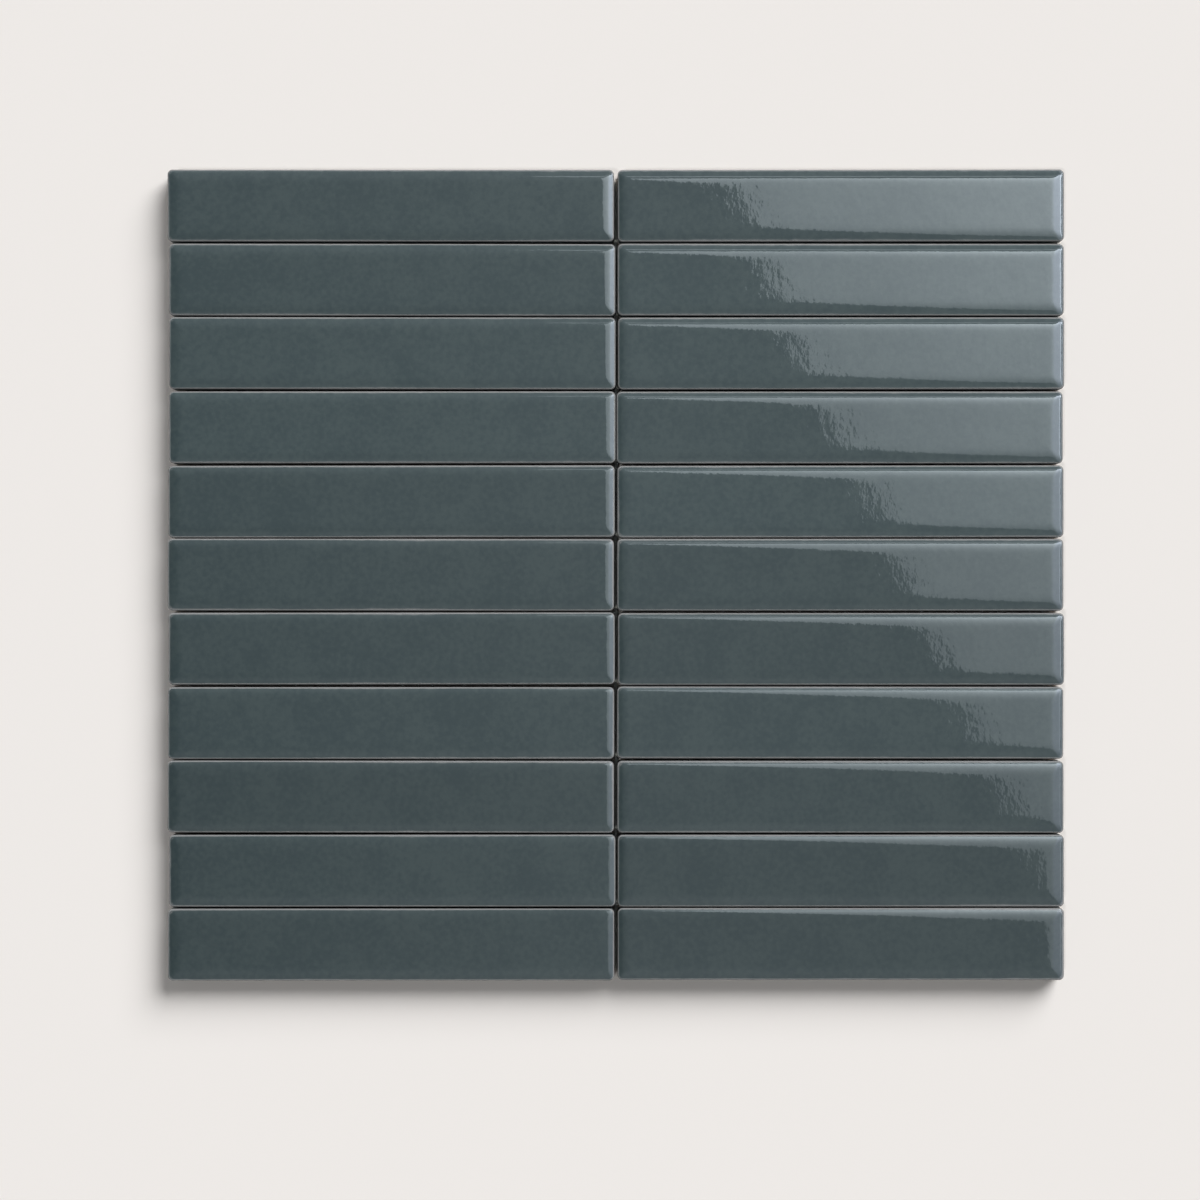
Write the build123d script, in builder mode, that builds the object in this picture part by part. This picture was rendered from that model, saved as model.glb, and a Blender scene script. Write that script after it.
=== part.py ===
"""Mosaic tile sheet: long glazed finger tiles in a stacked grid, held together by an open net on their backs.

Millimetres. +X runs along the tiles, +Y up the rows and +Z out of the glazed faces.
The origin is under the middle of the sheet, on the surface that it lies on.
"""

import os
from math import atan, cos, degrees, floor, radians, sin
from random import Random

from build123d import *

# Tile: one pressed and fired piece
tile_length = 145.1
tile_width = 23.4
tile_thickness = 8.0
corner_radius = 1.6  # upright corners, seen from the front
cushion_width = 4.4  # soft margin of the glazed face, from where it starts to fall to the tile's edge
cushion_slope = 8.5  # degrees, the fall that the margin reaches before it rolls over
edge_radius = 0.6  # roll-over from the margin to the sides
back_chamfer = 0.4

# Keying grooves pressed into the back of each tile
groove_count = 3
groove_pitch = 6.0
groove_width = 3.2
groove_depth = 0.6
groove_end_margin = 6.0  # from the end of the groove to the end of the tile

# Layout of the sheet
columns = ["left", "right"]
row_count = 11
end_joint = 0.8  # between the two columns
side_joint = 0.6  # between the rows
end_stray = 0.35  # share of the end joint by which a tile slides along its row, off its place
side_stray = 0.2  # share of the side joint by which it shifts across its row, and its ends turn
laying_seed = 543184

# Backing net: flat fibreglass strands in two layers, bonded where they cross
net_pitch = 5.0
net_margin = 3.0  # from the edge of the net to the edge of the sheet
strand_width = 0.9
strand_thickness = 0.25

# Places that follow from the sizes above
column_pitch = tile_length + end_joint
row_pitch = tile_width + side_joint
sheet_length = len(columns) * column_pitch - end_joint
sheet_width = row_count * row_pitch - side_joint
net_length = sheet_length - 2 * net_margin
net_width = sheet_width - 2 * net_margin
net_thickness = 2 * strand_thickness
face_height = net_thickness + tile_thickness
groove_length = tile_length - 2 * groove_end_margin
fall = radians(cushion_slope)
cushion_radius = (cushion_width - edge_radius * (1 - sin(fall))) / sin(fall)
slide = end_stray * end_joint
shift = side_stray * side_joint
turn = degrees(atan(shift / (tile_length / 2)))


def strand_count(span):
    """How many strands at the net's pitch fit across a span, the outer two inside it."""
    return floor((span - strand_width) / net_pitch) + 1


def tile_view(span):
    """A tile seen from a side that is span long: flat face, margins that fall away softly, rolled edges."""
    margin_start = span / 2 - cushion_width
    with BuildSketch() as view:
        with BuildLine():
            Line((0, face_height), (margin_start, face_height))
            margin_center = (margin_start, face_height - cushion_radius)
            margin = CenterArc(margin_center, cushion_radius, 90, -cushion_slope)
            edge_center = margin @ 1 - edge_radius * Vector(sin(fall), cos(fall))
            edge = CenterArc(edge_center, edge_radius, 90 - cushion_slope, cushion_slope - 90)
            Polyline(edge @ 1, (span / 2, net_thickness), (0, net_thickness))
            mirror(about=Plane.YZ)
        make_face()
    return view.sketch


os.makedirs("parts", exist_ok=True)

# Lower layer of the net: strands along the tiles
with BuildPart() as net_weft:
    with BuildSketch():
        with GridLocations(0, net_pitch, 1, strand_count(net_width)):
            Rectangle(net_length, strand_width)
    extrude(amount=strand_thickness)
net_weft.part.label = "net_weft"
export_step(net_weft.part, "parts/net_weft.step")

# Upper layer of the net: strands across the tiles, which the tile backs are glued to
with BuildPart() as net_warp:
    with BuildSketch(Plane.XY.offset(strand_thickness)):
        with GridLocations(net_pitch, 0, strand_count(net_length), 1):
            Rectangle(strand_width, net_width)
    extrude(amount=strand_thickness)
net_warp.part.label = "net_warp"
export_step(net_warp.part, "parts/net_warp.step")

# One tile over the origin: what its side view, end view and outline have in common, grooved at the back
with BuildPart() as tile:
    with BuildSketch(Plane.XZ):
        add(tile_view(tile_length))
    extrude(amount=tile_width / 2, both=True)
    with BuildSketch(Plane.YZ):
        add(tile_view(tile_width))
    extrude(amount=tile_length / 2, both=True, mode=Mode.INTERSECT)
    with BuildSketch(Plane.XY.offset(net_thickness)):
        RectangleRounded(tile_length, tile_width, corner_radius)
    extrude(amount=tile_thickness, mode=Mode.INTERSECT)
    chamfer(tile.faces().sort_by(Axis.Z)[0].edges(), back_chamfer)
    with BuildSketch(Plane.XY.offset(net_thickness)):
        with GridLocations(0, groove_pitch, 1, groove_count):
            Rectangle(groove_length, groove_width)
    extrude(amount=groove_depth, mode=Mode.SUBTRACT)

# The tiles laid in their columns, numbered from the top row down, each a little off its place
hand = Random(laying_seed)
grid = GridLocations(column_pitch, row_pitch, len(columns), row_count).locations
for place in grid:
    column = columns[round((place.position.X + sheet_length / 2) // column_pitch)]
    row = row_count - round((place.position.Y + sheet_width / 2) // row_pitch)
    off_place = Location((slide * hand.uniform(-1, 1), shift * hand.uniform(-1, 1), 0))
    off_square = Location((0, 0, 0), (0, 0, turn * hand.uniform(-1, 1)))
    laid = tile.part.moved(place * off_place * off_square)
    laid.label = f"tile_{column}_{row:02d}"
    export_step(laid, f"parts/{laid.label}.step")
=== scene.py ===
import math
import random

import bmesh
import bpy
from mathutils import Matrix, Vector


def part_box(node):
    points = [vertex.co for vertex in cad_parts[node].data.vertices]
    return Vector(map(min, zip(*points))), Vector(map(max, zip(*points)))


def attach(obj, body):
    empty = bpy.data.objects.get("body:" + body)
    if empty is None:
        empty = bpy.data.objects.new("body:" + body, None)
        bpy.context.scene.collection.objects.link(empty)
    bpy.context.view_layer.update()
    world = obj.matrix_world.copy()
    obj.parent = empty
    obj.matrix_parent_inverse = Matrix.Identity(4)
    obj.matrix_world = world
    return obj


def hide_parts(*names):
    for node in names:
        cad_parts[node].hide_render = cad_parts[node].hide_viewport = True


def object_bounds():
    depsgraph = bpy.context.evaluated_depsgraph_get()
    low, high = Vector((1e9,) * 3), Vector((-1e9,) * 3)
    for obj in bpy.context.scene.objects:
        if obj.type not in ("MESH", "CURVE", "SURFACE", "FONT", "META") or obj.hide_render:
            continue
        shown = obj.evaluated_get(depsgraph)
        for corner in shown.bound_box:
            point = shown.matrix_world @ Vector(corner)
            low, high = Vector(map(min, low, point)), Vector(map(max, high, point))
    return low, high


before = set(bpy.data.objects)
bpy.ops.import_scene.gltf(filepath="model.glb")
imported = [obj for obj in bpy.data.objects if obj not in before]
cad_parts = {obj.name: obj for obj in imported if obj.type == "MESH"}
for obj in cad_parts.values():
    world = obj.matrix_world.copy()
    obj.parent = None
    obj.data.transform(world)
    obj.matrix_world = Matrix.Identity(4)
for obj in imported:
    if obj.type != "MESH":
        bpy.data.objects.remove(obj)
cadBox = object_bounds()
mm = 0.001
hair = 1e-6  # metres, closer than this is the same place
facing = 0.99  # a normal past this points straight up or down
print("frame loaded:", len(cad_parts), "nodes")


# selecting and shaping, used by every piece

def startPiece(name):
    piece = bpy.context.object
    piece.name = piece.data.name = name
    bpy.ops.object.transform_apply(location=True, rotation=True, scale=True)
    bpy.ops.object.mode_set(mode="EDIT")
    return piece


def pickFaces(test):
    bpy.ops.mesh.select_mode(type="FACE")
    bpy.ops.mesh.select_all(action="DESELECT")
    mesh = bpy.context.edit_object.data
    form = bmesh.from_edit_mesh(mesh)
    for face in form.faces:
        if test(face.calc_center_median(), face.normal):
            face.select_set(True)
    bmesh.update_edit_mesh(mesh)


def pickEdges(test):
    bpy.ops.mesh.select_mode(type="EDGE")
    bpy.ops.mesh.select_all(action="DESELECT")
    mesh = bpy.context.edit_object.data
    form = bmesh.from_edit_mesh(mesh)
    for edge in form.edges:
        if test(edge.verts[0].co, edge.verts[1].co):
            edge.select_set(True)
    bmesh.update_edit_mesh(mesh)


def cutAt(axis, places, test):
    for place in places:
        pickFaces(test)
        at, normal = [0, 0, 0], [0, 0, 0]
        at[axis], normal[axis] = place, 1
        bpy.ops.mesh.bisect(plane_co=at, plane_no=normal)


def takeUp(piece):
    bpy.ops.object.select_all(action="DESELECT")
    piece.select_set(True)
    bpy.context.view_layer.objects.active = piece


def endPiece(piece, smoothAngle):
    bpy.ops.mesh.select_mode(type="VERT")
    bpy.ops.mesh.select_all(action="SELECT")
    bpy.ops.mesh.remove_doubles(threshold=hair / 2)
    bpy.ops.mesh.normals_make_consistent(inside=False)
    bpy.ops.object.mode_set(mode="OBJECT")
    takeUp(piece)
    bpy.ops.object.shade_smooth_by_angle(angle=math.radians(smoothAngle))


def displace(piece, group, strength, texture=None, level=0.0):
    lift = piece.modifiers.new("lift", "DISPLACE")
    lift.direction = "Z"
    lift.vertex_group = group
    lift.strength = strength
    lift.mid_level = level
    if texture:
        lift.texture = texture
        lift.texture_coords = "GLOBAL"
    takeUp(piece)
    bpy.ops.object.modifier_apply(modifier=lift.name)


def clouds(name, size, depth):
    texture = bpy.data.textures.new(name, "CLOUDS")
    texture.noise_scale = size
    texture.noise_depth = depth
    texture.noise_basis = "IMPROVED_PERLIN"
    return texture


# where each tile lies: the flat of its face is a rectangle, and its corners give the middle and the turn

tileNodes = sorted(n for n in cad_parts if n.startswith("tile_"))


def average(points):
    return sum(points, Vector((0, 0))) / len(points)


def tilePlace(node):
    points = [v.co for v in bpy.data.objects[node].data.vertices]
    top = max(p.z for p in points)
    flat = {(round(p.x, 7), round(p.y, 7)) for p in points if p.z > top - hair}  # each corner once
    corners = [Vector(p) for p in flat]
    middle = average(corners)
    right = average([c for c in corners if c.x > middle.x])
    left = average([c for c in corners if c.x < middle.x])
    along = right - left
    return middle, math.atan2(along.y, along.x)


def tileSize(node):
    middle, turn = tilePlace(node)
    cos, sin = math.cos(turn), math.sin(turn)
    points = [v.co for v in bpy.data.objects[node].data.vertices]
    alongs = [(p.x - middle.x) * cos + (p.y - middle.y) * sin for p in points]
    acrosses = [(p.y - middle.y) * cos - (p.x - middle.x) * sin for p in points]
    return max(alongs) - min(alongs), max(acrosses) - min(acrosses)


tileLength, tileWidth = tileSize(tileNodes[0])
tileLow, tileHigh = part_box(tileNodes[0])
backZ, faceZ = tileLow.z, tileHigh.z
print("tile", tileLength, tileWidth, backZ, faceZ)


# one tile, made over the origin

tileForm = {
    "cornerRadius": 1.6 * mm, "cornerSteps": 6,
    "edgeRadius": 0.6 * mm, "edgeSteps": 7,  # the rim, rolled over to the sides
    "rimRings": [0.1 * mm, 0.3 * mm, 0.45 * mm],  # next to the rim, round the corners
    "cushionWidth": 4.4 * mm, "cushionSlope": 8.5,  # the soft margin, and the degrees of fall it reaches
    "marginCuts": [1.9 * mm, 2.4 * mm, 2.9 * mm, 3.5 * mm, 4.4 * mm],  # from the edge, where it is divided
    "mitre": 4,  # how crisply two margins meet at a corner
    "gridStep": 1.7 * mm,
    "backChamfer": 0.4 * mm, "chamferSteps": 2,
    "grooves": 3, "groovePitch": 6 * mm, "grooveWidth": 3.2 * mm, "grooveDepth": 0.6 * mm,
    "grooveEnd": 6 * mm, "grooveDraft": 0.15 * mm,  # from the tile's end, and how far the walls lean in
    "waveFrom": 0.2 * mm,  # over the top of the sides, where the glaze starts to wave
    "clayTo": 0.8 * mm,  # over the back, the bare clay
    "smooth": 40,  # degrees
}
slope = math.radians(tileForm["cushionSlope"])
rollWidth = tileForm["edgeRadius"] * (1 - math.sin(slope))
wallTop = faceZ - rollWidth


def cushionFall(distance):
    inside = max(tileForm["cushionWidth"] - max(distance, rollWidth), 0)
    curve = (tileForm["cushionWidth"] - rollWidth) / math.sin(slope)
    return curve - math.sqrt(curve * curve - inside * inside)


def glazedHeight(x, y):
    radius, roll, mitre = tileForm["cornerRadius"], tileForm["edgeRadius"], tileForm["mitre"]
    fromEnd, fromSide = tileLength / 2 - abs(x), tileWidth / 2 - abs(y)
    corner = Vector((max(radius - fromEnd, 0), max(radius - fromSide, 0)))
    fromEdge = radius - corner.length if corner.length > 0 else min(fromEnd, fromSide)
    over = min(max(roll - max(fromEdge, 0), roll * math.sin(slope)), roll)
    drop = roll * math.cos(slope) - math.sqrt(max(roll * roll - over * over, 0))
    falls = (cushionFall(fromEnd) ** mitre + cushionFall(fromSide) ** mitre) ** (1 / mitre)
    return faceZ - falls - drop


def onFace(center, normal):
    return center.z > wallTop


def onBack(center, normal):
    return normal.z < -facing


def gridCuts(span):
    margins = [span / 2 - cut for cut in tileForm["marginCuts"]]
    inner = 2 * min(margins)
    count = round(inner / tileForm["gridStep"])
    return [s * m for m in margins for s in (-1, 1)] + [inner * (i / count - 0.5) for i in range(1, count)]


def pressGrooves():
    half = tileForm["grooveWidth"] / 2
    end = tileLength / 2 - tileForm["grooveEnd"]
    count = tileForm["grooves"]
    middles = [(i - (count - 1) / 2) * tileForm["groovePitch"] for i in range(count)]

    def inGroove(center, normal):
        beside = min(abs(center.y - m) for m in middles)
        return onBack(center, normal) and abs(center.x) < end and beside < half

    cutAt(0, [-end, end], onBack)
    cutAt(1, [m + s for m in middles for s in (-half, half)], onBack)
    pickFaces(inGroove)
    bpy.ops.mesh.inset(thickness=tileForm["grooveDraft"], depth=-tileForm["grooveDepth"])


def makeTile():
    bpy.ops.object.select_all(action="DESELECT")
    size = (tileLength, tileWidth, faceZ - backZ)
    bpy.ops.mesh.primitive_cube_add(size=1, location=(0, 0, (backZ + faceZ) / 2), scale=size)
    tile = startPiece("tileMaster")
    pickEdges(lambda a, b: abs(a.z - b.z) > mm)
    bpy.ops.mesh.bevel(offset=tileForm["cornerRadius"], segments=tileForm["cornerSteps"], affect="EDGES")
    pickEdges(lambda a, b: max(a.z, b.z) < backZ + hair)
    bpy.ops.mesh.bevel(offset=tileForm["backChamfer"], segments=tileForm["chamferSteps"], affect="EDGES")
    pickEdges(lambda a, b: min(a.z, b.z) > faceZ - hair)
    bpy.ops.mesh.bevel(offset=rollWidth, segments=tileForm["edgeSteps"], affect="EDGES")
    pickFaces(lambda center, normal: normal.z > facing)
    for ring in tileForm["rimRings"]:
        bpy.ops.mesh.inset(thickness=ring, depth=0)
    pressGrooves()

    # a grid over the face and rim, so that the glaze can be shaped
    cutAt(0, gridCuts(tileLength), onFace)
    cutAt(1, gridCuts(tileWidth), onFace)
    endPiece(tile, tileForm["smooth"])

    # the soft margin and the rim sink to their profile
    drops = []
    for vertex in tile.data.vertices:
        x, y, z = vertex.co
        drops.append(z - glazedHeight(x, y) if z > wallTop - hair else 0)
    deepest = max(drops)
    sinks = tile.vertex_groups.new(name="sinks")
    face = tile.vertex_groups.new(name="face")
    for i, drop in enumerate(drops):
        sinks.add([i], drop / deepest, "REPLACE")
        waves = tile.data.vertices[i].co.z > wallTop + tileForm["waveFrom"]
        face.add([i], 1.0 if waves else 0.0, "REPLACE")
    displace(tile, "sinks", -deepest)
    return tile


tileMaster = makeTile()
print("tile made:", len(tileMaster.data.polygons), "faces")


# the tiles, laid where the frame has them, each with its own wavy glaze, a random tone of its own, and
# painted light that makes them paler up the sheet

glazeWaves = {
    "slow": 45 * mm, "slowHeight": 0.10 * mm,
    "ripple": 5 * mm, "rippleHeight": 0.022 * mm,
}
paintedLightAndTone = {"seed": 31, "least": 0.15, "rise": 0.7, "reach": 1.3, "stray": 0.15}  # painted light: tiles paler up the sheet, plus a random tone for each
slowWave = clouds("slowWave", glazeWaves["slow"], 0)
rippleWave = clouds("rippleWave", glazeWaves["ripple"], 1)
kiln = random.Random(paintedLightAndTone["seed"])
tiles = []
for node in tileNodes:
    middle, turn = tilePlace(node)
    takeUp(tileMaster)
    bpy.ops.object.duplicate(linked=False)
    tile = bpy.context.object
    tile.name = tile.data.name = "glazed_" + node
    tile.location = (middle.x, middle.y, 0)
    tile.rotation_euler = (0, 0, turn)
    bpy.ops.object.transform_apply(location=True, rotation=True, scale=True)
    displace(tile, "face", glazeWaves["slowHeight"], slowWave, 1.0)
    displace(tile, "face", glazeWaves["rippleHeight"], rippleWave, 1.0)
    tile.vertex_groups.clear()
    # painted light: the higher up the sheet a tile lies, the paler its colour; stray is its random tone
    upSheet = (middle.y - cadBox[0][1]) / (cadBox[1][1] - cadBox[0][1])
    stray = kiln.uniform(-paintedLightAndTone["stray"], paintedLightAndTone["stray"])
    shade = paintedLightAndTone["least"] + paintedLightAndTone["rise"] * min(upSheet * paintedLightAndTone["reach"], 1) + stray
    tone = tile.data.attributes.new("paintedLightAndTone", "FLOAT", "POINT")
    tone.data.foreach_set("value", [shade] * len(tile.data.vertices))
    tiles.append(tile)
    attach(tile, "root")
    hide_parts(node)
bpy.data.objects.remove(tileMaster)
print("tiles laid:", len(tiles))


# the net on the backs: flat two-lobed yarns, an array of them each way

netForm = {
    "pitch": 5 * mm, "width": 0.9 * mm,
    "round": 0.09 * mm, "roundSteps": 2, "waist": 0.05 * mm,  # its edges, and the dip between the lobes
    "segment": 14 * mm, "wander": 0.5 * mm, "wanderSize": 22 * mm,
    "long": 10 * mm,  # an edge over this runs along the yarn
    "smooth": 50,  # degrees
}
yarnWander = clouds("yarnWander", netForm["wanderSize"], 0)


def anywhere(center, normal):
    return True


def layYarns(node, name, axis):
    low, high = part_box(node)
    across = 1 - axis
    size = [0, 0, high.z - low.z]
    size[axis], size[across] = high[axis] - low[axis], netForm["width"]
    place = [0, 0, (low.z + high.z) / 2]
    place[axis], place[across] = (low[axis] + high[axis]) / 2, low[across] + netForm["width"] / 2

    def lengthwise(a, b):
        return abs(a[axis] - b[axis]) > netForm["long"]

    def inMiddle(a, b):
        return max(abs(a[across] - place[across]), abs(b[across] - place[across])) < hair

    bpy.ops.object.select_all(action="DESELECT")
    bpy.ops.mesh.primitive_cube_add(size=1, location=place, scale=size)
    yarns = startPiece(name)
    pickEdges(lengthwise)
    bpy.ops.mesh.bevel(offset=netForm["round"], segments=netForm["roundSteps"], affect="EDGES")
    cutAt(across, [place[across]], anywhere)
    pickEdges(lambda a, b: inMiddle(a, b) and lengthwise(a, b))
    squeeze = 1 - 2 * netForm["waist"] / size[2]
    bpy.ops.transform.resize(value=(1, 1, squeeze), center_override=place)
    parts = max(2, round(size[axis] / netForm["segment"]))
    cutAt(axis, [low[axis] + size[axis] * i / parts for i in range(1, parts)], anywhere)
    endPiece(yarns, netForm["smooth"])

    rows = yarns.modifiers.new("rows", "ARRAY")
    rows.count = round((high[across] - low[across] - netForm["width"]) / netForm["pitch"]) + 1
    rows.use_relative_offset = False
    rows.use_constant_offset = True
    step = [0, 0, 0]
    step[across] = netForm["pitch"]
    rows.constant_offset_displace = step
    area = rows.count * netForm["width"] * (high[axis] - low[axis])
    bpy.ops.object.modifier_apply(modifier=rows.name)
    sway = yarns.modifiers.new("sway", "DISPLACE")
    sway.direction = "XY"[across]
    sway.texture = yarnWander
    sway.texture_coords = "GLOBAL"
    sway.strength = netForm["wander"]
    bpy.ops.object.modifier_apply(modifier=sway.name)
    return yarns, area


weft, weftArea = layYarns("net_weft", "net_yarns_along", 0)
warp, warpArea = layYarns("net_warp", "net_yarns_across", 1)
print("net laid:", len(weft.data.polygons) + len(warp.data.polygons), "faces")


# nodes, for the materials and the light

def newMaterial(name):
    material = bpy.data.materials.new(name)
    material.use_nodes = True
    tree = material.node_tree
    return material, tree, tree.nodes["Principled BSDF"]


def feed(tree, value, socket):
    if isinstance(value, bpy.types.NodeSocket):
        tree.links.new(value, socket)
    else:
        socket.default_value = value


def put(tree, kind, settings=None, **inputs):
    node = tree.nodes.new(kind)
    for key, value in (settings or {}).items():
        setattr(node, key, value)
    for key, value in inputs.items():
        feed(tree, value, node.inputs[int(key[1:]) if key in ("i0", "i1", "i2") else key])
    return node


def calc(tree, operation, a, b, clamp=False):
    settings = {"operation": operation, "use_clamp": clamp}
    return put(tree, "ShaderNodeMath", settings, i0=a, i1=b).outputs[0]


def plus(tree, a, b):
    return calc(tree, "ADD", a, b)


def minus(tree, a, b):
    return calc(tree, "SUBTRACT", a, b)


def times(tree, a, b):
    return calc(tree, "MULTIPLY", a, b)


def timesPlus(tree, a, b, c):
    return put(tree, "ShaderNodeMath", {"operation": "MULTIPLY_ADD"}, i0=a, i1=b, i2=c).outputs[0]


def scaled(tree, vector, amount):
    node = put(tree, "ShaderNodeVectorMath", {"operation": "SCALE"}, i0=vector, Scale=amount)
    return node.outputs["Vector"]


def ramp(tree, value, low, high, smooth=True, ends=(0.0, 1.0)):
    kind = "SMOOTHSTEP" if smooth else "LINEAR"
    node = put(tree, "ShaderNodeMapRange", {"interpolation_type": kind}, Value=value)
    for name, number in (("From Min", low), ("From Max", high), ("To Min", ends[0]), ("To Max", ends[1])):
        node.inputs[name].default_value = number
    return node.outputs["Result"]


def between(tree, value, low, high, soft):
    return times(tree, ramp(tree, value, low - soft, low), ramp(tree, value, high + soft, high))


def blendColor(tree, amount, a, b):
    node = put(tree, "ShaderNodeMix", {"data_type": "RGBA"}, i0=amount)
    for slot, color in ((6, a), (7, b)):
        feed(tree, color if isinstance(color, bpy.types.NodeSocket) else (*color, 1), node.inputs[slot])
    return node.outputs[2]


def noise(tree, vector, scale, detail, drift=None, roughness=0.5):
    kind = {"noise_dimensions": "3D" if drift is None else "4D"}
    node = put(tree, "ShaderNodeTexNoise", kind, Vector=vector, Scale=scale, Detail=detail)
    node.inputs["Roughness"].default_value = roughness
    if drift is not None:
        tree.links.new(drift, node.inputs["W"])
    return node.outputs["Fac"]


def bump(tree, height, distance, **under):
    node = put(tree, "ShaderNodeBump", Strength=1.0, Distance=distance, Height=height, **under)
    return node.outputs["Normal"]


# fired clay: patchy and grainy, with small dark flecks sunk into it

clay = {
    "light": (0.60, 0.53, 0.46), "dark": (0.47, 0.40, 0.34),
    "patch": 120.0, "patchShare": 0.7, "grain": 2600.0, "grainShare": 0.5, "range": (0.35, 0.85),
    "fleck": 900.0, "fleckEdge": (0.22, 0.10), "fleckTone": 0.25, "fleckDepth": 0.6,
    "relief": 0.03 * mm, "roughness": 0.85,
}


def clayGroup():
    group = bpy.data.node_groups.new("clayBody", "ShaderNodeTree")
    group.interface.new_socket("Vector", in_out="INPUT", socket_type="NodeSocketVector")
    group.interface.new_socket("Light", in_out="INPUT", socket_type="NodeSocketColor")
    group.interface.new_socket("Dark", in_out="INPUT", socket_type="NodeSocketColor")
    group.interface.new_socket("Color", in_out="OUTPUT", socket_type="NodeSocketColor")
    group.interface.new_socket("Height", in_out="OUTPUT", socket_type="NodeSocketFloat")
    start, end = group.nodes.new("NodeGroupInput"), group.nodes.new("NodeGroupOutput")
    vector, light, dark = start.outputs["Vector"], start.outputs["Light"], start.outputs["Dark"]
    patch = noise(group, vector, clay["patch"], detail=3.0)
    grain = noise(group, vector, clay["grain"], detail=2.0)
    fleck = put(group, "ShaderNodeTexVoronoi", Vector=vector, Scale=clay["fleck"]).outputs["Distance"]
    spots = ramp(group, fleck, *clay["fleckEdge"])
    mixed = plus(group, times(group, patch, clay["patchShare"]), times(group, grain, clay["grainShare"]))
    tone = blendColor(group, ramp(group, mixed, *clay["range"]), dark, light)
    flecked = blendColor(group, times(group, spots, clay["fleckTone"]), tone, dark)
    group.links.new(flecked, end.inputs["Color"])
    group.links.new(minus(group, grain, times(group, spots, clay["fleckDepth"])), end.inputs["Height"])
    return group


clayBody = clayGroup()


def putClay(tree, vector):
    node = tree.nodes.new("ShaderNodeGroup")
    node.node_tree = clayBody
    tree.links.new(vector, node.inputs["Vector"])
    node.inputs["Light"].default_value = (*clay["light"], 1)
    node.inputs["Dark"].default_value = (*clay["dark"], 1)
    return node


def makeClay():
    material, tree, shader = newMaterial("firedClay")
    body = putClay(tree, put(tree, "ShaderNodeTexCoord").outputs["Object"])
    tree.links.new(body.outputs["Color"], shader.inputs["Base Color"])
    tree.links.new(bump(tree, body.outputs["Height"], clay["relief"]), shader.inputs["Normal"])
    shader.inputs["Roughness"].default_value = clay["roughness"]
    return material


# the gloss glaze: mottled, thin and pale over the rim, dull on the sides, and ending unevenly there

tealGlaze = {
    "deep": (0.0325, 0.0506, 0.0555), "pale": (0.0485, 0.0694, 0.0717),
    "tone": (0.78, 1.15), "drift": 9.0,  # from the darkest tile to the palest (painted light, paler up the sheet, plus a random tone), and how their patterns differ
    "mottle": 75.0, "mottleShare": 0.45, "fine": 620.0, "fineShare": 0.55, "range": (0.36, 0.64),
    "grit": 2200.0, "gritShare": 0.5, "gritLeast": 0.25, "shadeShare": 0.75,
    "thin": (0.218, 0.222, 0.224),  # where it breaks thin over the rim
    "thinFrom": 0.31 * mm, "thinTo": 0.43 * mm, "ragged": 0.08 * mm, "raggedScale": 300.0,  # below the face
    "thickFrom": 0.8 * mm, "thickTo": 1.2 * mm,
    "ends": 7.1 * mm, "uneven": 0.5 * mm, "unevenScale": 140.0, "endSoft": 0.25 * mm,  # down the sides
    "roughness": 0.027, "sideRoughness": 0.5, "bareRoughness": 0.8, "ior": 1.52,
    "peel": 0.0105 * mm, "peelScale": (600.0, 400.0, 600.0),  # its fine skin
}


def glazeColor(tree, place, lightAndTone, drift):
    mottle = noise(tree, place, tealGlaze["mottle"], detail=3.0, drift=drift, roughness=0.55)
    fine = noise(tree, place, tealGlaze["fine"], detail=2.0, drift=drift)
    grit = noise(tree, place, tealGlaze["grit"], detail=2.0, drift=drift)
    spread = times(tree, mottle, tealGlaze["mottleShare"])
    spread = plus(tree, spread, times(tree, fine, tealGlaze["fineShare"]))
    shade = times(tree, ramp(tree, spread, *tealGlaze["range"]), tealGlaze["shadeShare"])
    specks = times(tree, minus(tree, grit, tealGlaze["gritLeast"]), tealGlaze["gritShare"])
    lean = calc(tree, "ADD", shade, specks, clamp=True)
    tinted = blendColor(tree, lean, tealGlaze["deep"], tealGlaze["pale"])
    # painted light: the colour is scaled paler up the sheet, with a random tone for each tile
    return scaled(tree, tinted, ramp(tree, lightAndTone, 0.0, 1.0, smooth=False, ends=tealGlaze["tone"]))


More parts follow.
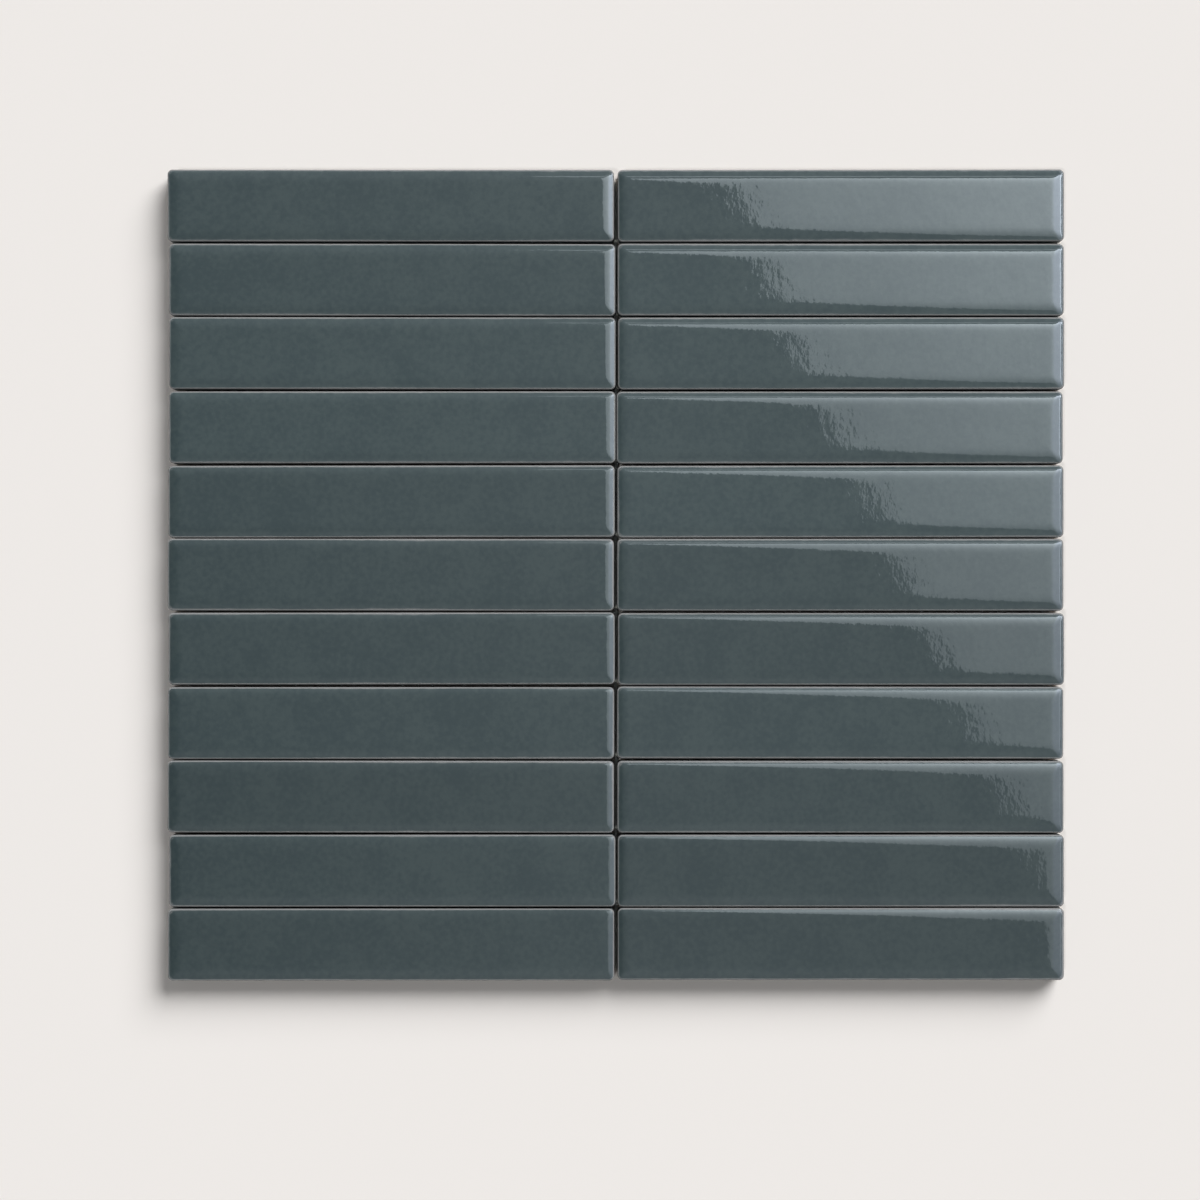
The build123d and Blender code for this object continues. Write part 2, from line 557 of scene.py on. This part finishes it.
def makeGlaze():
    material, tree, shader = newMaterial("tealGlaze")
    place = put(tree, "ShaderNodeTexCoord").outputs["Object"]
    lightAndTone = put(tree, "ShaderNodeAttribute", {"attribute_name": "paintedLightAndTone"}).outputs["Fac"]
    drift = times(tree, lightAndTone, tealGlaze["drift"])
    body = glazeColor(tree, place, lightAndTone, drift)
    clayNode = putClay(tree, place)

    # masks by the depth below the face: the thin rim, the sides, the bare foot
    depth = minus(tree, faceZ, put(tree, "ShaderNodeSeparateXYZ", Vector=place).outputs["Z"])
    edgeNoise = noise(tree, place, tealGlaze["raggedScale"], detail=3.0, drift=drift)
    ragged = timesPlus(tree, edgeNoise, tealGlaze["ragged"], depth)
    half = tealGlaze["ragged"] / 2
    thinning = ramp(tree, ragged, tealGlaze["thinFrom"] + half, tealGlaze["thinTo"] + half)
    side = ramp(tree, depth, tealGlaze["thickFrom"], tealGlaze["thickTo"])
    thin = calc(tree, "SUBTRACT", thinning, side, clamp=True)
    endNoise = noise(tree, place, tealGlaze["unevenScale"], detail=4.0, drift=drift, roughness=0.6)
    reach = timesPlus(tree, endNoise, -2 * tealGlaze["uneven"], depth)
    foot = tealGlaze["ends"] - tealGlaze["uneven"]
    bare = ramp(tree, reach, foot, foot + tealGlaze["endSoft"])

    glazed = blendColor(tree, thin, body, tealGlaze["thin"])
    tree.links.new(blendColor(tree, bare, glazed, clayNode.outputs["Color"]), shader.inputs["Base Color"])
    rawClay = times(tree, bare, tealGlaze["bareRoughness"])
    dull = calc(tree, "MAXIMUM", rawClay, times(tree, side, tealGlaze["sideRoughness"]))
    tree.links.new(plus(tree, dull, tealGlaze["roughness"]), shader.inputs["Roughness"])

    drawn = put(tree, "ShaderNodeMapping", Vector=place, Scale=tealGlaze["peelScale"]).outputs["Vector"]
    peel = noise(tree, drawn, scale=1.0, detail=2.0, drift=drift)
    skin = bump(tree, times(tree, peel, minus(tree, 1.0, bare)), tealGlaze["peel"])
    grain = times(tree, clayNode.outputs["Height"], bare)
    tree.links.new(bump(tree, grain, clay["relief"], Normal=skin), shader.inputs["Normal"])
    shader.inputs["IOR"].default_value = tealGlaze["ior"]
    return material


glazeLook, clayLook = makeGlaze(), makeClay()
for tile in tiles:
    tile.data.materials.append(glazeLook)
    tile.data.materials.append(clayLook)
    for face in tile.data.polygons:
        face.material_index = 1 if face.center.z < backZ + tileForm["clayTo"] else 0


# fibreglass yarn, with fibres that run along it

yarn = {
    "pale": (0.80, 0.80, 0.76), "shade": (0.58, 0.58, 0.53), "range": (0.3, 0.7),
    "across": 6000.0, "along": 160.0, "fibre": 0.02 * mm, "roughness": 0.5,
}


def makeYarn(name, axis):
    material, tree, shader = newMaterial(name)
    place = put(tree, "ShaderNodeTexCoord").outputs["Object"]
    stretch = [yarn["across"]] * 3
    stretch[axis] = yarn["along"]
    drawn = put(tree, "ShaderNodeMapping", Vector=place, Scale=stretch).outputs["Vector"]
    fibre = noise(tree, drawn, scale=1.0, detail=2.0)
    tinted = blendColor(tree, ramp(tree, fibre, *yarn["range"]), yarn["shade"], yarn["pale"])
    tree.links.new(tinted, shader.inputs["Base Color"])
    tree.links.new(bump(tree, fibre, yarn["fibre"]), shader.inputs["Normal"])
    shader.inputs["Roughness"].default_value = yarn["roughness"]
    return material


weft.data.materials.append(makeYarn("yarnAlong", 0))
warp.data.materials.append(makeYarn("yarnAcross", 1))
takeUp(weft)
warp.select_set(True)
bpy.ops.object.join()
net = bpy.context.object
net.name = net.data.name = "backing_net"
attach(net, "root")
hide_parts("net_weft", "net_warp")
print("materials on")


# floor, camera and lamps

stage = {
    "floor": (0.855, 0.823, 0.797), "width": 8, "floorDrop": 0.01 * mm,
    "lens": 85.0, "sensor": 36.0, "frameWidth": 389.7 * mm, "aim": (-5.2 * mm, -8.1 * mm), "clip": (0.01, 50),
    "ambient": 0.12, "panelHeight": 6.0, "lampDistance": 2,
}

bpy.ops.object.select_all(action="DESELECT")
bpy.ops.mesh.primitive_plane_add(size=stage["width"], location=(0, 0, -stage["floorDrop"]))
floor = bpy.context.object
floor.name = "floor"
floorLook, tree, shader = newMaterial("paleFloor")
shader.inputs["Base Color"].default_value = (*stage["floor"], 1)
shader.inputs["Roughness"].default_value = 1.0
shader.inputs["Specular IOR Level"].default_value = 0.0
floor.data.materials.append(floorLook)

cameraZ = faceZ + stage["frameWidth"] * stage["lens"] / stage["sensor"]
bpy.ops.object.camera_add(location=(*stage["aim"], cameraZ), rotation=(0, 0, 0))
camera = bpy.context.object
camera.data.lens, camera.data.sensor_width = stage["lens"], stage["sensor"]
camera.data.clip_start, camera.data.clip_end = stage["clip"]
bpy.context.scene.camera = camera

suns = [
    {"name": "keyLight", "source": (0.487, 0.659, 0.573), "spread": 40.0, "power": 3.95},
    {"name": "overheadLight", "source": (-0.22, -0.22, 0.95), "spread": 5.0, "power": 0.52},
]
for sun in suns:
    bpy.ops.object.light_add(type="SUN", location=[stage["lampDistance"] * c for c in sun["source"]])
    lamp = bpy.context.object
    lamp.name = sun["name"]
    lamp.rotation_euler = (-Vector(sun["source"])).to_track_quat("-Z", "Y").to_euler()
    lamp.data.energy = sun["power"]
    lamp.data.angle = math.radians(sun["spread"])
    lamp.visible_glossy = False  # the glaze mirrors the panel and the room instead
print("floor, camera and lamps in place")


# the room as the glaze mirrors it: dim overhead, with light all round it that catches on the rims

room = {
    "base": 0.40,
    # where each light starts and ends, and its level
    "fromRight": (-0.175, 0.0, 0.28), "fromTop": (-0.175, 0.175, 0.12),
    "lean": (0.12, 0.35, 0.3), "low": (-0.10, -0.30, 0.3), "shade": (-0.15, -0.30, -0.25),
    "rim": 1.8, "rimRight": (0.10, 0.45, 0.8), "rimTop": (0.10, 0.45, 1.6), "rimLow": (-0.10, -0.45, 0.5),
    "rimIn": (0.87, 0.82), "rimOut": (0.64, 0.76),  # heights between which the light round it shows
    "far": 0.55,  # the level near the floor
}


def wash(tree, way, name, smooth=True):
    start, stop, level = room[name]
    return times(tree, ramp(tree, way, start, stop, smooth), level)


def roomGroup():
    group = bpy.data.node_groups.new("studioRoom", "ShaderNodeTree")
    group.interface.new_socket("Direction", in_out="INPUT", socket_type="NodeSocketVector")
    group.interface.new_socket("Level", in_out="OUTPUT", socket_type="NodeSocketFloat")
    start, end = group.nodes.new("NodeGroupInput"), group.nodes.new("NodeGroupOutput")
    apart = put(group, "ShaderNodeSeparateXYZ", Vector=start.outputs["Direction"])
    x, y, z = apart.outputs["X"], apart.outputs["Y"], apart.outputs["Z"]
    rim = plus(group, wash(group, x, "rimRight"), room["rim"])
    rim = plus(group, wash(group, y, "rimTop"), rim)
    rim = plus(group, wash(group, y, "rimLow"), rim)
    total = plus(group, times(group, ramp(group, z, *room["rimIn"]), rim), room["base"])
    total = plus(group, total, wash(group, x, "fromRight", smooth=False))
    total = plus(group, total, wash(group, y, "fromTop", smooth=False))
    total = plus(group, total, wash(group, y, "lean"))
    total = plus(group, total, wash(group, y, "low"))
    total = plus(group, total, wash(group, x, "shade"))
    above = times(group, minus(group, total, room["far"]), ramp(group, z, *room["rimOut"]))
    group.links.new(plus(group, above, room["far"]), end.inputs["Level"])
    return group


studioRoom = roomGroup()


def unscattered(tree, rays):
    return calc(tree, "LESS_THAN", rays["Diffuse Depth"], 0.5)  # 1 until the ray meets something dull


def putRoom(tree, direction):
    node = tree.nodes.new("ShaderNodeGroup")
    node.node_tree = studioRoom
    tree.links.new(direction, node.inputs["Direction"])
    return node.outputs["Level"]


# a light panel overhead to the right, seen only in the glaze

panel = {
    "edge": 0.1019, "edgeSoft": 0.003, "slant": 0.449,  # near edge, in metres over the face as mirrored there
    "top": 15.8, "right": 29.0, "soft": 0.03,  # degrees from overhead to its far edges, and their blur
    "level": 2.97, "most": 18.0, "color": (0.90, 1.0, 1.06),
    "growX": 0.160, "growY": 0.155, "atX": 0.140, "atY": 0.080, "stopX": 0.20,  # brighter to the upper right
    "cool": (11.0, 16.0), "coolGain": 0.13, "coolColor": (0.92, 1.02, 1.17),  # degrees to its cooler side
    "border": (26.5, 28.0), "borderGain": 1.3,  # degrees to its brighter right border
    "slit": (18.4, 19.4), "slitLevel": 2.8,  # a gap of light beyond its top
}


def panelGlow(tree, x, y, high):
    far = 1 + high / (camera.location.z - faceZ)  # how a point on the face spreads up there

    def at(degrees):
        return high * math.tan(math.radians(degrees))

    across = plus(tree, x, times(tree, y, panel["slant"]))
    inside = ramp(tree, across, panel["edge"] * far, (panel["edge"] + panel["edgeSoft"]) * far)
    below = ramp(tree, y, at(panel["top"]) + panel["soft"], at(panel["top"]))
    before = ramp(tree, x, at(panel["right"]) + panel["soft"], at(panel["right"]))
    stopped = calc(tree, "MINIMUM", x, panel["stopX"] * far)
    growX = calc(tree, "DIVIDE", minus(tree, stopped, panel["atX"] * far), panel["growX"] * far)
    growY = calc(tree, "DIVIDE", minus(tree, y, panel["atY"] * far), panel["growY"] * far)
    bright = times(tree, calc(tree, "EXPONENT", plus(tree, growX, growY), 0.0), panel["level"])
    border = times(tree, ramp(tree, x, *map(at, panel["border"])), panel["borderGain"])
    cool = ramp(tree, x, *map(at, panel["cool"]))
    gain = plus(tree, border, times(tree, cool, panel["coolGain"]))
    bright = calc(tree, "MINIMUM", times(tree, bright, plus(tree, gain, 1.0)), panel["most"])
    lit = times(tree, times(tree, below, before), bright)
    slit = times(tree, between(tree, y, *map(at, panel["slit"]), panel["soft"]), panel["slitLevel"])
    return times(tree, inside, plus(tree, lit, slit)), cool


def makePanel():
    high = stage["panelHeight"]
    bpy.ops.object.select_all(action="DESELECT")
    bpy.ops.mesh.primitive_plane_add(size=stage["width"], location=(0, 0, 0))
    card = bpy.context.object
    card.name = "lightPanel"
    card.location = (camera.location.x, camera.location.y, faceZ + high)
    material, tree, shader = newMaterial("panelLight")
    tree.nodes.remove(shader)
    place = put(tree, "ShaderNodeTexCoord").outputs["Object"]
    apart = put(tree, "ShaderNodeSeparateXYZ", Vector=place)
    lit, cool = panelGlow(tree, apart.outputs["X"], apart.outputs["Y"], high)
    upward = put(tree, "ShaderNodeVectorMath", {"operation": "ADD"}, i0=place, i1=(0, 0, high)).outputs[0]
    direction = put(tree, "ShaderNodeVectorMath", {"operation": "NORMALIZE"}, i0=upward).outputs[0]
    rays = put(tree, "ShaderNodeLightPath").outputs
    level = times(tree, plus(tree, lit, putRoom(tree, direction)), unscattered(tree, rays))
    hue = blendColor(tree, cool, panel["color"], panel["coolColor"])
    shine = put(tree, "ShaderNodeEmission", Strength=1.0, Color=scaled(tree, hue, level))
    tree.links.new(shine.outputs[0], tree.nodes["Material Output"].inputs["Surface"])
    card.data.materials.append(material)
    card.visible_camera = card.visible_diffuse = card.visible_shadow = False


makePanel()

# the world: a plain low light, the room where the glaze mirrors it, and the floor's colour behind it all
world = bpy.data.worlds.new("studio")
bpy.context.scene.world = world
world.use_nodes = True
tree = world.node_tree
rays = put(tree, "ShaderNodeLightPath").outputs
level = putRoom(tree, put(tree, "ShaderNodeTexCoord").outputs["Generated"])
dome = put(tree, "ShaderNodeCombineColor", Red=level, Green=level, Blue=level).outputs["Color"]
mirrored = times(tree, rays["Is Glossy Ray"], unscattered(tree, rays))
plain = blendColor(tree, mirrored, (stage["ambient"],) * 3, dome)
behind = blendColor(tree, rays["Is Camera Ray"], plain, stage["floor"])
tree.links.new(behind, tree.nodes["Background"].inputs["Color"])

bpy.context.scene.view_settings.view_transform = "Standard"
print("stage set")
